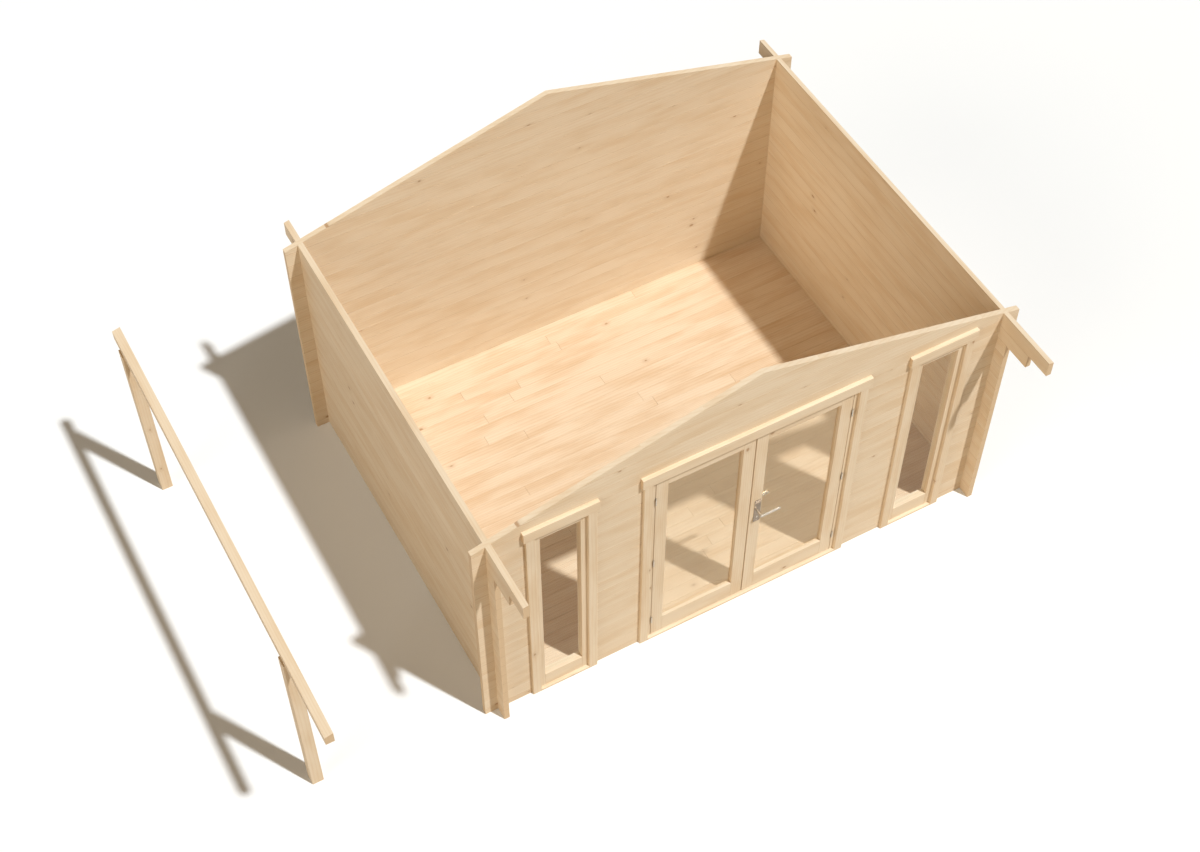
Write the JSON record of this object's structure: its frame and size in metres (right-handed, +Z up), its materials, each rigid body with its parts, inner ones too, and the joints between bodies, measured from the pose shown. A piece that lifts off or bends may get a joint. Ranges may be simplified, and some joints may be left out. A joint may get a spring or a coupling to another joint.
{
  "type": "garden house with lean-to",
  "caption": "Roofless log garden house with a glazed double door, two tall front windows, a boarded floor and an open post-and-beam lean-to on its left side.",
  "frame": {"origin": "middle of the whole footprint, on the ground", "axes": "+Z up, -Y is the front with the double door, -X is the side with the lean-to"},
  "size_m": [5.485, 3.695, 2.564],
  "materials": {
    "log_wood": "planed softwood, untreated",
    "joinery_wood": "planed softwood, untreated",
    "floor_wood": "tongue and groove softwood boards",
    "post_wood": "planed softwood, untreated",
    "glass": "clear float glass",
    "metal": "brushed"
  },
  "bodies": {
    "root": {"front_wall_left_end": "log_wood", "front_wall_left_pier": "log_wood", "front_wall_right_pier": "log_wood", "front_wall_right_end": "log_wood", "front_gable": "log_wood", "back_wall": "log_wood", "left_wall": "log_wood", "right_wall": "log_wood", "left_corbel_log": "log_wood", "right_corbel_log": "log_wood", "left_top_log": "log_wood", "right_top_log": "log_wood", "floor_boards": "floor_wood", "floor_bearers": "floor_wood", "left_window_frame": "joinery_wood", "left_window_glass": "glass", "left_window_casing": "joinery_wood", "left_window_bottom_board": "joinery_wood", "left_window_head_board": "joinery_wood", "right_window_frame": "joinery_wood", "right_window_glass": "glass", "right_window_casing": "joinery_wood", "right_window_bottom_board": "joinery_wood", "right_window_head_board": "joinery_wood", "door_jambs": "joinery_wood", "door_frame_head": "joinery_wood", "door_threshold": "joinery_wood", "door_threshold_step": "joinery_wood", "door_casing": "joinery_wood", "door_bottom_board": "joinery_wood", "door_head_board": "joinery_wood", "left_hinge_pins": "metal", "right_hinge_pins": "metal", "lean_to_front_post": "post_wood", "lean_to_back_post": "post_wood", "lean_to_beam": "post_wood"},
    "left_leaf": {"left_door_leaf": "joinery_wood", "left_door_glass": "glass", "left_hinge_barrels": "metal"},
    "right_leaf": {"right_door_leaf": "joinery_wood", "right_door_glass": "glass", "right_hinge_barrels": "metal", "door_lock_plates": "metal"},
    "handle": {"door_handle": "metal"}
  },
  "joints": [
    {"name": "left_door_hinge", "type": "hinge", "parent": "root", "child": "left_leaf", "pos_m": [-0.125, -1.3165, 1], "axis": [0, 0, -1], "range_deg": [0, 160]},
    {"name": "right_door_hinge", "type": "hinge", "parent": "root", "child": "right_leaf", "pos_m": [1.41, -1.3165, 1], "axis": [0, 0, 1], "range_deg": [0, 160]},
    {"name": "door_lever", "type": "hinge", "parent": "right_leaf", "child": "handle", "pos_m": [0.70675, -1.3075, 1.01], "axis": [0, 1, 0], "range_deg": [0, 40], "stiffness_Nm_per_rad": 1.2, "springref_deg": -34.38}
  ]
}
